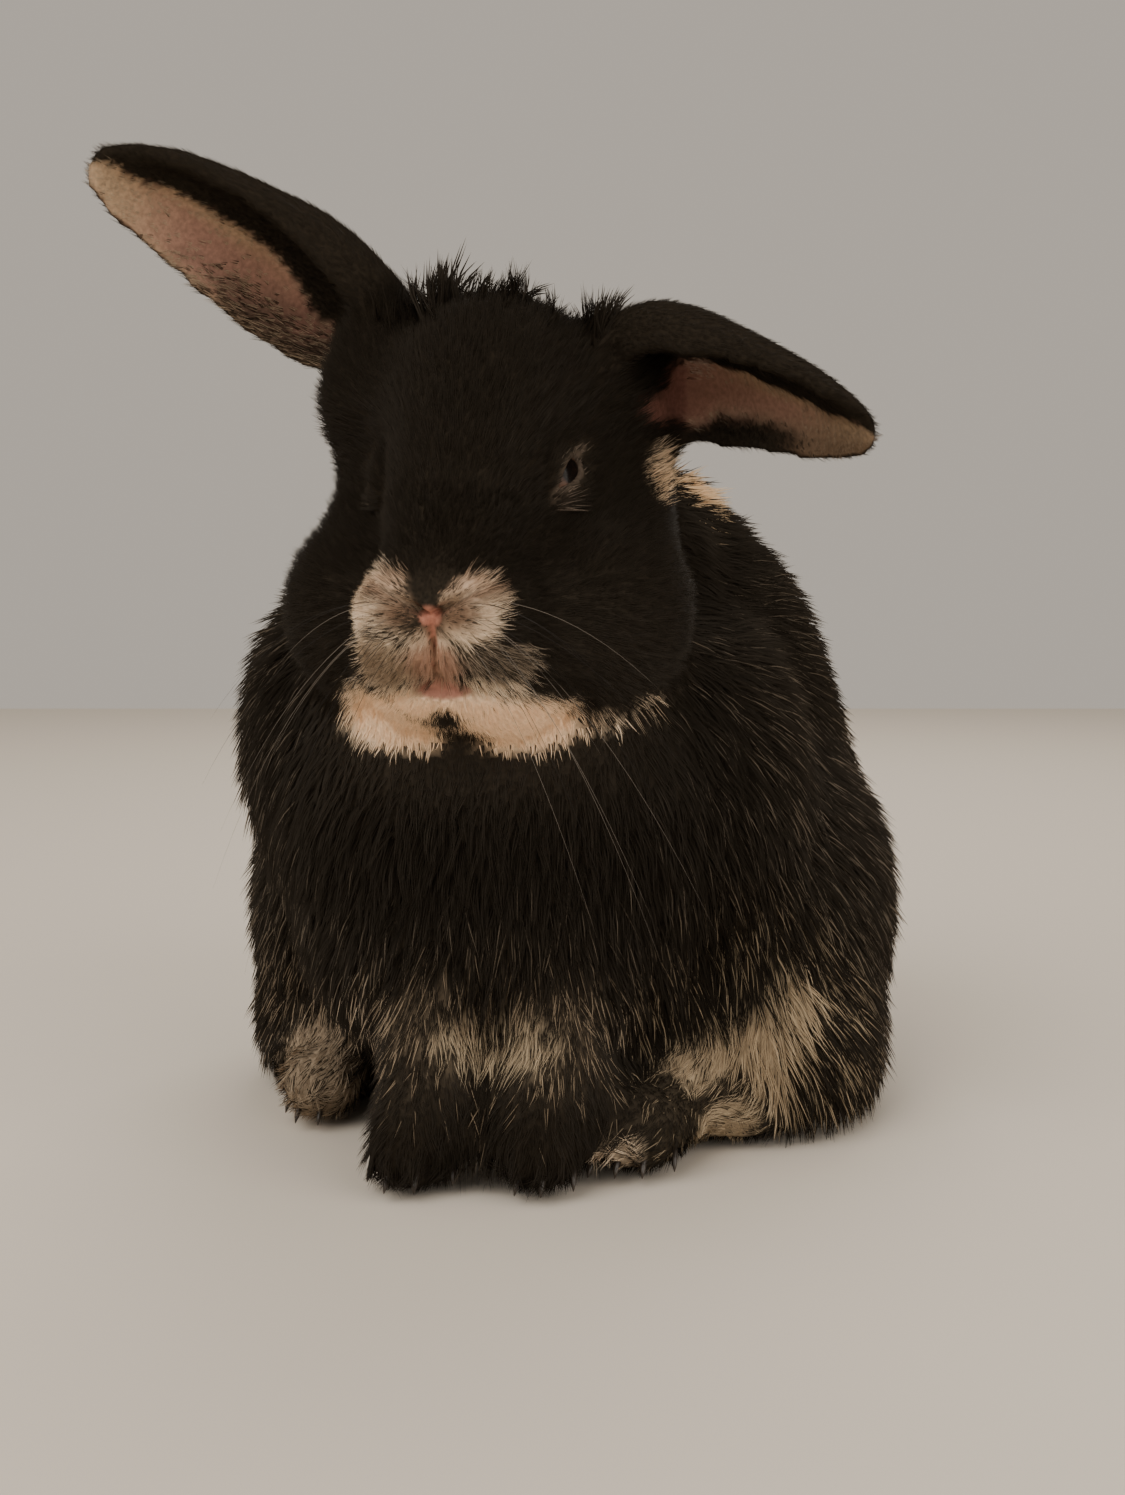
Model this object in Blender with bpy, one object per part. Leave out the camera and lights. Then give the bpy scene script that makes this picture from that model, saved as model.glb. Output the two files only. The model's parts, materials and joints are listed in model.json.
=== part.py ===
"""A lop-eared rabbit sitting up, life size, as a still museum model.

Metres, +Z up. The rabbit looks along -Y and its left side is +X. The animal is modelled as soft masses that
are fused and smoothed, then parted with thin cuts into the pieces a person would name. The surface is that
of the coat, out to the tips of the hair. Sizes are in millimetres; points of the body are in a frame turned
with the trunk, and points of the head are measured from the middle of the skull.
"""

import math

import bmesh
import bpy
from mathutils import Matrix, Vector

MM = 0.001

# Driving dimensions
SKULL = (-16.0, -55.0, 172.0)  # middle of the skull, above the floor under the belly
TRUNK_TURN = -15.0  # degrees about Z: the rump lies to the left of the nose
HEAD_TURN = -11.0  # degrees about Z: the nose points a little to the rabbit's right
EYE = (16.0, -19.5, -10.5)  # centre of the left eyeball
EYE_RADIUS = 8.5
NOSE = (1.0, -60.0, -37.0)  # tip of the nose
MOUTH_LEVEL = -53.0  # of the line between the lips
EAR_WALL = 3.2  # an ear with its short fur
CUT = 0.4  # width of the cuts between the pieces

SIDES = {"left": 1.0, "right": -1.0}
BODY_POSE = Matrix.Rotation(math.radians(TRUNK_TURN), 4, "Z")
HEAD_POSE = (
    Matrix.Translation(Vector(SKULL) * MM)
    @ Matrix.Rotation(math.radians(HEAD_TURN), 4, "Z")
)


def clear_scene():
    for obj in list(bpy.data.objects):
        bpy.data.objects.remove(obj)


def material(name, colour, roughness):
    made = bpy.data.materials.new(name)
    made.use_nodes = True
    shader = made.node_tree.nodes["Principled BSDF"]
    shader.inputs["Base Color"].default_value = (*colour, 1.0)
    shader.inputs["Roughness"].default_value = roughness
    shader.inputs["Metallic"].default_value = 0.0
    return made


def new_object(name, mesh):
    obj = bpy.data.objects.new(name, mesh)
    bpy.context.scene.collection.objects.link(obj)
    return obj


def object_from(name, shape, pose):
    """An object from a bmesh whose points are moved by pose."""
    shape.transform(pose)
    mesh = bpy.data.meshes.new(name)
    shape.to_mesh(mesh)
    shape.free()
    return new_object(name, mesh)


# ---------------------------------------------------------------- soft masses
def ball(shape, centre, radii, lean=0.0, detail=4):
    """A ball stretched to radii along X, Y and Z, leaning by degrees about X, added to the shape."""
    place = (
        Matrix.Translation(Vector(centre) * MM)
        @ Matrix.Rotation(math.radians(lean), 4, "X")
        @ Matrix.Diagonal((*[radius * MM for radius in radii], 1.0))
    )
    bmesh.ops.create_icosphere(shape, subdivisions=detail, radius=1.0, matrix=place)


def limb(shape, joints, beads=9):
    """A tapering round limb through joints, each (centre, radius), as a row of overlapping balls."""
    for (start, thick), (end, thin) in zip(joints, joints[1:]):
        for bead in range(beads + 1):
            share = bead / beads
            radius = thick + (thin - thick) * share
            ball(shape, Vector(start).lerp(Vector(end), share), (radius,) * 3)


def both_sides(centre):
    """The point on the left and its mirror image on the right."""
    x, y, z = centre
    return [(x * side, y, z) for side in SIDES.values()]


def trunk_masses(shape):
    ball(shape, (-5, -32, 84), (65, 56, 64))  # chest and ruff
    ball(shape, (-6, -44, 50), (52, 44, 34))  # fringe of the ruff over the paws
    ball(shape, (-52, -28, 98), (28, 36, 48))  # right shoulder
    ball(shape, (42, -22, 88), (30, 36, 48))  # left shoulder
    ball(shape, (-4, 0, 132), (50, 54, 51))  # withers
    ball(shape, (-4, -18, 144), (46, 38, 36))  # nape
    ball(shape, (30, -16, 146), (16, 22, 20))  # scruff behind the left ear
    ball(shape, (-3, 14, 118), (59, 60, 62))  # between the withers and the back
    ball(shape, (-2, 30, 96), (74, 72, 79))  # ribs and arched back
    ball(shape, (-1, 45, 79), (77, 69, 75))  # loins
    ball(shape, (0, 58, 60), (77, 64, 68))  # rump
    ball(shape, (0, -2, 38), (60, 70, 33))  # belly


THIGHS = {"left": (52, 18, 50), "right": (-55, 16, 50)}
THIGH_SIZE = (38, 60, 54)
HAUNCHES = {"left": (58, 0, 20), "right": (-60, 12, 20)}  # where the thigh's coat comes down to the floor
HAUNCH_SIZE = (32, 50, 38)
HIND_FEET = {  # hock, instep and toes
    "left": (((50, 30, 13), 14), ((44, -20, 13), 13.5), ((36.5, -69, 10.5), 12.5)),
    "right": (((-56, 36, 13), 14), ((-55, -4, 12.5), 13.5), ((-52, -49, 10.5), 12.5)),
}
FORELEGS = {  # elbow, wrist and toes
    "left": (((20, -62, 58), 19), ((18, -77, 24), 13), ((17.5, -88, 9), 12)),
    "right": (((-16, -62, 58), 19), ((-10, -80, 24), 14), ((-11, -92.5, 9.5), 13.5)),
}
TAIL = (((2, 112, 26), 15), ((2, 121, 40), 13), ((2, 124, 54), 9))


def body_shape():
    shape = bmesh.new()
    trunk_masses(shape)
    for side in SIDES:
        ball(shape, THIGHS[side], THIGH_SIZE, lean=-12)
        ball(shape, HAUNCHES[side], HAUNCH_SIZE)
        limb(shape, HIND_FEET[side])
        limb(shape, FORELEGS[side])
    limb(shape, TAIL)
    return shape


def head_shape():
    """The head: the face slopes down to the nose, and the cheeks hang low and wide."""
    shape = bmesh.new()
    ball(shape, (0, 2, 2), (31, 36, 36.5))  # forehead
    ball(shape, (0, 13, -6), (43.5, 36, 40))  # temples
    ball(shape, (0, 14, -26), (38, 38, 38))  # nape and throat
    limb(shape, (((0, -10, 6), 25), ((0, -30, -14), 20), ((0, -46, -32), 14)))  # bridge of the nose
    ball(shape, (0, -40, -40), (23, 18, 19))  # muzzle
    ball(shape, (1, -32, -54), (27, 19, 14))  # chin
    for centre in both_sides((8.5, -51, -38)):
        ball(shape, centre, (9.5, 9, 9.5))  # whisker pad
    for centre in both_sides((27, -8, -39)):
        ball(shape, centre, (24, 30, 26))  # cheek
    for centre in both_sides((28, 6, -25)):
        ball(shape, centre, (17, 28, 25))  # jaw muscle under the ear
    for centre in both_sides((18, -13, 6)):
        ball(shape, centre, (9, 13, 8))  # brow
    ball(shape, (29, 5, 13.5), (14, 16, 20))  # root of the drooping left ear
    ball(shape, (-30, 4, 17), (14.5, 16, 22))  # root of the lifted right ear
    ball(shape, (-32.5, 2, 11), (14, 16, 19))  # brow that the lifted ear pushes out
    return shape


# ---------------------------------------------------------------- ears
# Each ear is a trough that is nearly a tube at its root. Along it, by share of its length: half its width, its
# depth, how far its wall goes round above and below its back, and how far its opening is turned from forwards
# to downwards, the last three in degrees.
EAR_PROFILE = (
    (0.00, 9.0, 9.0, 150.0, 130.0, 45.0),
    (0.20, 17.5, 12.0, 145.0, 115.0, 45.0),
    (0.38, 19.0, 11.5, 135.0, 100.0, 42.0),
    (0.60, 15.2, 8.0, 125.0, 92.0, 34.0),
    (0.80, 11.2, 5.5, 118.0, 88.0, 26.0),
    (0.90, 7.6, 3.8, 110.0, 85.0, 20.0),
    (0.97, 4.6, 2.5, 100.0, 80.0, 16.0),
    (1.00, 1.6, 1.4, 90.0, 80.0, 15.0),
)
EAR_SPINES = {  # evenly spaced from the root to the tip: the left ear droops and the right one is lifted
    "left": ((19, 9, 16), (38, 3, 16.5), (55, -7.5, 11.5), (72, -18.5, 5), (89, -30, -2.5)),
    "right": ((-24, 9, 22), (-41, 4.5, 33.5), (-57.5, -4, 45), (-74.5, -15, 56), (-89.5, -26, 63)),
}
EAR_STEPS = 11
EAR_RIBS = 9


def along(points, share):
    """The place at a share of the way along points evenly spaced, on a smooth curve through them."""
    last = len(points) - 1
    first = min(int(share * last), last - 1)
    near = [points[min(max(first + step, 0), last)] for step in (-1, 0, 1, 2)]
    t = share * last - first
    weights = (
        -0.5 * t + t**2 - 0.5 * t**3,
        1 - 2.5 * t**2 + 1.5 * t**3,
        0.5 * t + 2 * t**2 - 1.5 * t**3,
        -0.5 * t**2 + 0.5 * t**3,
    )
    return sum((Vector(point) * weight for point, weight in zip(near, weights)), Vector((0, 0, 0)))


def profile_at(share):
    """The ear's sizes and angles there, between the stations of its profile."""
    for low, high in zip(EAR_PROFILE, EAR_PROFILE[1:]):
        if share <= high[0]:
            t = (share - low[0]) / (high[0] - low[0])
            return [a + (b - a) * t for a, b in zip(low[1:], high[1:])]
    return EAR_PROFILE[-1][1:]


def ear_section(spine, share):
    """Points across the ear from its lower edge, round its back, to its upper edge."""
    half_width, depth, above, below, turn = profile_at(share)
    ahead = along(spine, min(share + 0.02, 1.0)) - along(spine, max(share - 0.02, 0.0))
    axis = ahead.normalized()
    up = (Vector((0, 0, 1)) - axis * axis.z).normalized()
    behind = axis.cross(up)
    behind *= 1 if behind.y > 0 else -1
    lean = math.radians(turn)
    back = behind * math.cos(lean) + up * math.sin(lean)
    crest = up * math.cos(lean) - behind * math.sin(lean)
    for rib in range(EAR_RIBS + 1):
        angle = math.radians((above + below) * rib / EAR_RIBS - below)
        yield along(spine, share) + crest * half_width * math.sin(angle) + back * depth * math.cos(angle)


def ear(side):
    shape = bmesh.new()
    rows = []
    for step in range(EAR_STEPS + 1):
        share = math.sin(math.pi / 2 * step / EAR_STEPS)  # closer together towards the tip
        rows.append([shape.verts.new(point * MM) for point in ear_section(EAR_SPINES[side], share)])
    for row, beyond in zip(rows, rows[1:]):
        for rib in range(EAR_RIBS):
            shape.faces.new((row[rib], row[rib + 1], beyond[rib + 1], beyond[rib]))
    obj = object_from("ear_" + side, shape, HEAD_POSE)
    wall = obj.modifiers.new("wall", "SOLIDIFY")
    wall.thickness = EAR_WALL * MM
    wall.offset = 0.0
    wall.use_quality_normals = True
    return facing_out(baked(obj))


# ---------------------------------------------------------------- fusing and parting
def baked(obj):
    """The object with its modifiers made part of its mesh."""
    graph = bpy.context.evaluated_depsgraph_get()
    mesh = bpy.data.meshes.new_from_object(obj.evaluated_get(graph))
    name = obj.name
    bpy.data.objects.remove(obj)
    return new_object(name, mesh)


def facing_out(obj):
    shape = bmesh.new()
    shape.from_mesh(obj.data)
    bmesh.ops.recalc_face_normals(shape, faces=shape.faces)
    shape.to_mesh(obj.data)
    shape.free()
    return obj


def fused(name, shape, pose, voxel, smoothing, triangles):
    """The masses as one smooth closed skin of about so many triangles, placed by pose."""
    obj = object_from(name, shape, pose)
    remesh = obj.modifiers.new("fuse", "REMESH")
    remesh.mode = "VOXEL"
    remesh.voxel_size = voxel * MM
    smooth = obj.modifiers.new("smooth", "SMOOTH")
    smooth.factor = 0.5
    smooth.iterations = smoothing
    obj = baked(obj)
    decimate = obj.modifiers.new("thin", "DECIMATE")
    decimate.ratio = triangles / sum(len(face.vertices) - 2 for face in obj.data.polygons)
    return guide(baked(obj))


def guide(obj):
    """Marks an object as a help for cutting, and no part of the rabbit."""
    obj.hide_render = True
    obj.display_type = "WIRE"
    return obj


def grown(obj, by=CUT):
    """A guide like obj, with its surface moved out by so many millimetres."""
    copy = new_object(obj.name + "_grown", obj.data.copy())
    displace = copy.modifiers.new("grow", "DISPLACE")
    displace.mid_level = 0.0
    displace.strength = by * MM
    return guide(baked(copy))


def egg(name, pose, centre, radii, lean=0.0):
    """An egg-shaped cutting volume."""
    shape = bmesh.new()
    ball(shape, centre, radii, lean, detail=2)
    return guide(object_from(name, shape, pose))


def block(name, pose, low, high):
    """A box-shaped cutting volume between two corners."""
    shape = bmesh.new()
    size = Vector(high) - Vector(low)
    place = Matrix.Translation((Vector(low) + size / 2) * MM) @ Matrix.Diagonal((*(size * MM), 1.0))
    bmesh.ops.create_cube(shape, size=1.0, matrix=place)
    return guide(object_from(name, shape, pose))


def boolean(obj, operation, other):
    cut = obj.modifiers.new(operation.lower(), "BOOLEAN")
    cut.operation = operation
    cut.object = other
    cut.solver = "EXACT"


def piece(name, whole, inside, outside, surface):
    """A named piece: what of the whole lies in the volume inside and out of each volume outside."""
    obj = new_object(name, whole.data.copy())
    if inside:
        boolean(obj, "INTERSECT", inside)
    for volume in outside:
        boolean(obj, "DIFFERENCE", volume)
    obj.data.materials.clear()
    obj.data.materials.append(surface)
    return without_crumbs(baked(obj))


def without_crumbs(obj):
    """The piece without the loose crumbs that cuts may leave beside it: only its largest shell is kept."""
    shape = bmesh.new()
    shape.from_mesh(obj.data)
    shells = []
    seen = set()
    for start in shape.verts:
        if start in seen:
            continue
        seen.add(start)
        shell = [start]
        for vertex in shell:  # the shell grows while it is walked through
            neighbours = [edge.other_vert(vertex) for edge in vertex.link_edges]
            fresh = [other for other in neighbours if other not in seen]
            seen.update(fresh)
            shell.extend(fresh)
        shells.append(shell)
    for crumb in sorted(shells, key=len)[:-1]:
        bmesh.ops.delete(shape, geom=crumb, context="VERTS")
    shape.to_mesh(obj.data)
    shape.free()
    return obj


def part_in_turn(whole, volumes, clear_of, rest, surface):
    """Cuts the whole into the named volumes one after another. What is left over is the rest."""
    taken = list(clear_of)
    made = []
    for name, volume in volumes.items():
        made.append(piece(name, whole, volume, taken, surface))
        taken.append(grown(volume))
    made.append(piece(rest, whole, None, taken, surface))
    return made


def body_volumes():
    """Where the trunk is parted from the legs, the tail and the neck."""
    volumes = {}
    for side, x in SIDES.items():
        hock, instep, toes = (Vector(joint[0]) for joint in HIND_FEET[side])
        wrist = Vector(FORELEGS[side][1][0])
        thigh = Vector(THIGHS[side])
        places = {
            "hindfoot_": (((hock + toes) / 2 - Vector((0, 0, 4)), (24, 78, 24), 0)),
            "foreleg_": (wrist + Vector((2 * x, -2, -6)), (15.5, 28, 32), 12),
            "thigh_": (thigh + Vector((4 * x, -13, -12)), (50, 72, 72), -8),
        }
        for part, (centre, radii, lean) in places.items():
            volumes[part + side] = egg(part + "volume", BODY_POSE, centre, radii, lean)
    volumes["tail"] = egg("tail_volume", BODY_POSE, (2, 128, 38), (20, 17, 28))
    volumes["neck"] = egg("neck_volume", BODY_POSE, (-8, -38, 142), (62, 50, 34), lean=20)
    return volumes


def head_volumes():
    """Where the lower jaw, the nose and the muzzle are parted from the head."""
    return {
        "nose": egg("nose_volume", HEAD_POSE, NOSE, (7.5, 8, 6.5)),
        "lower_jaw": block("jaw_volume", HEAD_POSE, (-28, -80, -90), (28, -12, MOUTH_LEVEL)),
        "muzzle": block("muzzle_volume", HEAD_POSE, (-60, -80, -90), (60, -40, -14)),
    }


def centre(objects):
    """Moves the rabbit so that the middle of its outline is over the origin, on the floor."""
    points = [vertex.co.copy() for obj in objects for vertex in obj.data.vertices]
    middle = [(min(p[axis] for p in points) + max(p[axis] for p in points)) / 2 for axis in (0, 1)]
    for obj in objects:
        obj.data.transform(Matrix.Translation((-middle[0], -middle[1], 0.0)))


def main():
    clear_scene()
    coat = material("black_coat", (0.02, 0.018, 0.016), 0.75)
    dark_eye = material("dark_eye", (0.03, 0.015, 0.01), 0.1)
    body = fused("body", body_shape(), BODY_POSE, 3.0, 16, 1700)
    head = fused("head_masses", head_shape(), HEAD_POSE, 2.0, 10, 1200)
    floor = block("floor_volume", Matrix.Identity(4), (-300, -300, -30), (300, 300, 0))
    head_and_gap = grown(head)

    eyes = []
    for side, x in SIDES.items():
        shape = bmesh.new()
        ball(shape, (EYE[0] * x, EYE[1], EYE[2]), (EYE_RADIUS,) * 3, detail=2)
        eyes.append(object_from("eye_" + side, shape, HEAD_POSE))
        eyes[-1].data.materials.append(dark_eye)
    made = part_in_turn(head, head_volumes(), [grown(eye) for eye in eyes], "head", coat)
    made += part_in_turn(body, body_volumes(), [floor, head_and_gap], "trunk", coat)
    for side in SIDES:
        whole = guide(ear(side))
        whole.name = "ear_guide_" + side
        made.append(piece("ear_" + side, whole, None, [head_and_gap], coat))
    centre(made + eyes)


main()
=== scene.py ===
"""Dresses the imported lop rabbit: skin, eyes, coat, whiskers and claws, on a pale studio floor. In metres."""

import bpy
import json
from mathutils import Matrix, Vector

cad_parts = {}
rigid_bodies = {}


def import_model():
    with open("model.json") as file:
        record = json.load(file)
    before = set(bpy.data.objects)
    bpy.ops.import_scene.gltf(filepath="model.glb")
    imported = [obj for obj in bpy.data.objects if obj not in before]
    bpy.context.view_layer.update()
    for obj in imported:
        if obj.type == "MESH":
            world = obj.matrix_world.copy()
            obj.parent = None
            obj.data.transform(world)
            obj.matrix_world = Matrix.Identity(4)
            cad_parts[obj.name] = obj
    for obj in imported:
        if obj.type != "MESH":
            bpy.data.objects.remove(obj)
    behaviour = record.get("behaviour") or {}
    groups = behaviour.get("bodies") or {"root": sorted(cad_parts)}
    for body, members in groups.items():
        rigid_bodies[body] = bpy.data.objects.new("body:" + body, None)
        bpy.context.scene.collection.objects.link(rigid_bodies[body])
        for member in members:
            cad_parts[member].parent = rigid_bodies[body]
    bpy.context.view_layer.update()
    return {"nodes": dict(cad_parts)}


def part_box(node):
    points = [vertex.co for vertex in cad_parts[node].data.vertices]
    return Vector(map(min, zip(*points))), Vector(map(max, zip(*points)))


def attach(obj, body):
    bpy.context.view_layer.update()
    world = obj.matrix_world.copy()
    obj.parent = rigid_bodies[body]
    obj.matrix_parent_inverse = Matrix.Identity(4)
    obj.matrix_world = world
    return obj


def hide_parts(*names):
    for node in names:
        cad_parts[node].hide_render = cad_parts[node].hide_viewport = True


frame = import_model()

import json
import math
from functools import partial

import bmesh
import bpy
import numpy as np
from mathutils import Matrix, Vector, noise
from mathutils.bvhtree import BVHTree

MM = 0.001

# ---------------------------------------------------------------- camera
# The camera is held at the height of the rabbit's chest, half a metre in front of it, and tipped down a
# little. Its place is given in millimetres from the middle of the footprint.
CAMERA_PLACE = Vector((8.7, -506.8, 140.0)) * MM
CAMERA_TIP = 5.2  # degrees below the horizon
SENSOR, LENS = 36.0, 44.55  # millimetres: the sensor's height and the focal length


def shown(name, data):
    """An object of the scene at the origin, with that mesh, lamp or camera."""
    obj = bpy.data.objects.new(name, data)
    bpy.context.scene.collection.objects.link(obj)
    return obj


camera = shown("camera", bpy.data.cameras.new("camera"))
camera.data.sensor_fit = "VERTICAL"
camera.data.sensor_height = SENSOR
camera.data.lens = LENS
camera.location = CAMERA_PLACE
camera.rotation_euler = (math.radians(90.0 - CAMERA_TIP), 0.0, 0.0)
bpy.context.scene.camera = camera

# ---------------------------------------------------------------- skin
# The skin is one loose sheet that covers the whole animal. It lies under the coat by the coat's own depth,
# which is small on the nose, ears and feet and large on the trunk. The muzzle is split and grooved, and lids
# close on the eyes.
FLESH = sorted(set(frame["nodes"]) - {"eye_left", "eye_right"})
PART = np.array([name.split("_")[0] for name in FLESH])  # what each of them is, whichever its side
SEAM = 0.35 * MM  # the solids are fattened by this much, so that the thin cuts between them close
VOXEL = 2.0 * MM
COAT_DEPTH = {  # millimetres
    "trunk": 5.0, "thigh": 5.0, "neck": 4.5, "tail": 5.0, "head": 3.0, "lower": 2.8, "muzzle": 1.6,
    "nose": 0.4, "ear": 0.9, "foreleg": 2.4, "hindfoot": 2.4,
}
SOFTNESS = {  # how much of the smoothing each part takes. The others take all of it
    "ear": 0.1, "nose": 0.2, "muzzle": 0.3, "lower": 0.4, "foreleg": 0.35, "hindfoot": 0.35, "head": 0.6,
}
SKIN_ROUNDS = 24  # of smoothing
EAR_ROUNDS = 12
EAR_BACK = -1.04  # the step that undoes the thinning of an ear by each round
SHRINK_STEPS = 5
SIDES = {"left": 1, "right": -1}  # the rabbit's own left is at +X

# The skull and the trunk each have a frame of their own, in millimetres: +X points to the rabbit's left and
# +Y to its rear.
EYE_MIDDLE = Vector((0, -19.5, -10.5))  # midway between the eyes, in the skull's frame
EYE_ASIDE = 16
EYE_RADIUS = 8.5
SKULL_TURN, TRUNK_TURN = -11, -15  # degrees about the upright
TRUNK_PLACE = Vector((8.7, -6.8, 0)) * MM


def turned(place, degrees):
    """A frame in millimetres at that place in metres, turned about Z."""
    return Matrix.Translation(place) @ Matrix.Rotation(math.radians(degrees), 4, "Z") @ Matrix.Scale(MM, 4)


eye_middle = sum((sum(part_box("eye_" + side), Vector()) / 2 for side in SIDES), Vector()) / 2
skull = turned(eye_middle, SKULL_TURN) @ Matrix.Translation(-EYE_MIDDLE)
trunk = turned(TRUNK_PLACE, TRUNK_TURN)


def rows(matrix, points):
    """The points, one to a row, moved by the matrix."""
    values = np.array(matrix)
    return points @ values[:3, :3].T + values[:3, 3]


def settled(obj):
    """The object's mesh with its modifiers worked in. The object itself goes."""
    graph = bpy.context.evaluated_depsgraph_get()
    mesh = bpy.data.meshes.new_from_object(obj.evaluated_get(graph))
    bpy.data.objects.remove(obj)
    return mesh


def joined_solids(names, by):
    """The named nodes as one mesh of closed shells, each with its surface moved out."""
    whole = bmesh.new()
    for name in names:
        shape = bmesh.new()
        shape.from_mesh(frame["nodes"][name].data)
        bmesh.ops.remove_doubles(shape, verts=shape.verts, dist=1e-6)
        shape.normal_update()
        for vertex in shape.verts:
            vertex.co += vertex.normal * by
        fattened = bpy.data.meshes.new(name)
        shape.to_mesh(fattened)
        shape.free()
        whole.from_mesh(fattened)
        bpy.data.meshes.remove(fattened)
    mesh = bpy.data.meshes.new("joined")
    whole.to_mesh(mesh)
    whole.free()
    return mesh


def outer_shell(mesh):
    """Deletes the closed hollows inside the mesh: only its largest shell is kept."""
    shape = bmesh.new()
    shape.from_mesh(mesh)
    seen = set()
    shells = []
    for start in shape.verts:
        if start in seen:
            continue
        seen.add(start)
        shell = [start]
        for vertex in shell:  # the shell grows while it is walked through
            for edge in vertex.link_edges:
                other = edge.other_vert(vertex)
                if other not in seen:
                    seen.add(other)
                    shell.append(other)
        shells.append(shell)
    for hollow in sorted(shells, key=len)[:-1]:
        bmesh.ops.delete(shape, geom=hollow, context="VERTS")
    shape.to_mesh(mesh)
    shape.free()


def refine_skin(places, reach):
    """Splits each face of the skin that lies within reach of one of the places into four."""
    shape = bmesh.new()
    shape.from_mesh(skin_mesh)
    near = {
        edge
        for face in shape.faces
        if any((face.calc_center_median() - place).length < reach for place in places)
        for edge in face.edges
    }
    edges = sorted(near, key=lambda edge: edge.index)
    bmesh.ops.subdivide_edges(shape, edges=edges, cuts=1, use_grid_fill=True)
    shape.to_mesh(skin_mesh)
    shape.free()


def points_of(mesh):
    points = np.empty(len(mesh.vertices) * 3)
    mesh.vertices.foreach_get("co", points)
    return points.reshape(-1, 3)


def normals_of(mesh):
    normals = np.empty(len(mesh.vertices) * 3, np.float32)
    mesh.vertex_normals.foreach_get("vector", normals)
    return normals.reshape(-1, 3).astype(float)


def move_skin(points):
    skin_mesh.vertices.foreach_set("co", points.reshape(-1))
    skin_mesh.update()


def blurred(values, rounds, share=None):
    """The skin's values after rounds of mixing with their neighbours' mean, by half or by half a share."""
    ends = np.empty(len(skin_mesh.edges) * 2, np.int64)
    skin_mesh.edges.foreach_get("vertices", ends)
    a, b = ends.reshape(-1, 2).T
    count = len(skin_mesh.vertices)
    neighbours = np.bincount(a, minlength=count) + np.bincount(b, minlength=count)
    by = 0.5 if share is None else share / 2
    columns = values.reshape(count, -1).T.astype(float)
    for _ in range(rounds):
        for column in columns:
            around = (np.bincount(a, column[b], count) + np.bincount(b, column[a], count)) / neighbours
            column += (around - column) * by
    return columns.T.reshape(values.shape)


def ramp(values, low, high):
    """0 below low, 1 above high, and a smooth rise between them."""
    t = np.clip((values - low) / (high - low), 0, 1)
    return t * t * (3 - 2 * t)


def by_part(table, rounds, otherwise=None):
    """The table's value for the node nearest to each vertex, with the steps between the nodes blurred."""
    values = np.array([table.get(name, otherwise) for name in PART])
    return blurred(values[nearest_nodes()], rounds)


def nearest_nodes():
    """For each of the skin's vertices, the place in FLESH of the node whose surface is nearest."""
    corners, faces, owners = [], [], []
    for place, name in enumerate(FLESH):
        node = frame["nodes"][name].data
        first = len(corners)
        corners.extend(vertex.co for vertex in node.vertices)
        faces.extend([first + corner for corner in face.vertices] for face in node.polygons)
        owners.extend([place] * len(node.polygons))
    tree = BVHTree.FromPolygons(corners, faces)
    return np.array([owners[tree.find_nearest(vertex.co)[2]] for vertex in skin_mesh.vertices])


blank = shown("skin_start", joined_solids(FLESH + ["eye_left", "eye_right"], SEAM))
remesh = blank.modifiers.new("close", "REMESH")
remesh.mode = "VOXEL"
remesh.voxel_size = VOXEL
skin_mesh = settled(blank)
skin_mesh.name = "skin"
outer_shell(skin_mesh)
softness = by_part(SOFTNESS, 6, 1.0)
depth = by_part(COAT_DEPTH, 10) * MM
points = blurred(points_of(skin_mesh), SKIN_ROUNDS, softness)
on_ear = by_part({"ear": 1.0}, 3, 0.0)
for _ in range(EAR_ROUNDS):  # evens the ears without thinning them
    points = blurred(points, 1, on_ear)
    points = blurred(points, 1, EAR_BACK * on_ear)
for _ in range(SHRINK_STEPS):
    move_skin(points)
    points = points - normals_of(skin_mesh) * depth[:, None] / SHRINK_STEPS
    points = blurred(points, 2, softness)
move_skin(points)

NOSE_TIP = Vector((-0.6, -58, -39.8))
EYES = {side: Vector((EYE_ASIDE * sign, EYE_MIDDLE.y, EYE_MIDDLE.z)) for side, sign in SIDES.items()}
muzzle_places = [skull @ place for place in (NOSE_TIP, Vector((-13, -48, -46)), Vector((12, -48, -46)))]
eye_places = [skull @ place for place in EYES.values()]
for places, reach in (
    (muzzle_places, 20), (eye_places, 17), (muzzle_places, 16), (eye_places, 14), (muzzle_places[:1], 11)
):
    refine_skin(places, reach * MM)

EAR_ROOT = skull @ Vector((42, 8, 12))  # the crease where the left ear's hollow starts on the head
creased = np.linalg.norm(points_of(skin_mesh) - EAR_ROOT, axis=1) / MM
move_skin(blurred(points_of(skin_mesh), 30, 1 - ramp(creased, 6, 13)))

NOSE_ROUNDS = 5
for reach in (22, 12):  # evens the steps between coarse and fine faces
    near = [np.linalg.norm(points_of(skin_mesh) - place, axis=1) for place in muzzle_places + eye_places]
    evenness = 1 - ramp(np.min(near, axis=0), 0.7 * reach * MM, reach * MM)
    move_skin(blurred(points_of(skin_mesh), NOSE_ROUNDS, evenness))

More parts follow.
